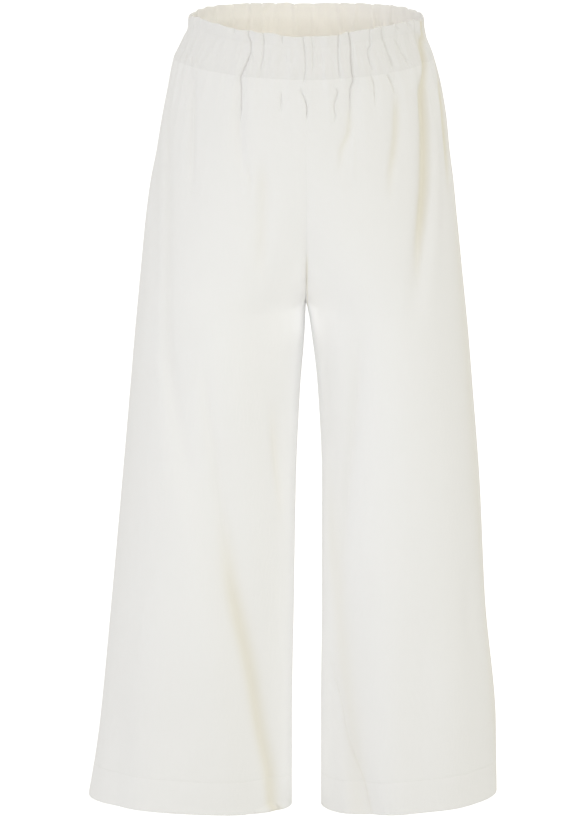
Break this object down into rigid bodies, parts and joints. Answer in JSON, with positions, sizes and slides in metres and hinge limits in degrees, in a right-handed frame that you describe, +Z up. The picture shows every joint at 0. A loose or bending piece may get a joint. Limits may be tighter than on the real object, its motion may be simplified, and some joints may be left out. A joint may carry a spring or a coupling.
{
  "type": "culottes",
  "caption": "Wide cropped trousers of light woven cloth with a gathered elastic waist under a small frill, filled out as worn, hollow and open at the waist and both hems.",
  "frame": {"origin": "middle of the waist opening, at the height of the elastic, where the wearer's waist holds the garment up", "axes": "+Z up, -Y the front, +X the wearer's left"},
  "size_m": [0.465, 0.2411, 0.909],
  "materials": {
    "cloth": "matt light woven cloth"
  },
  "bodies": {
    "root": {"waistband": "cloth", "front_right": "cloth", "front_left": "cloth", "back_right": "cloth", "back_left": "cloth"}
  },
  "joints": []
}
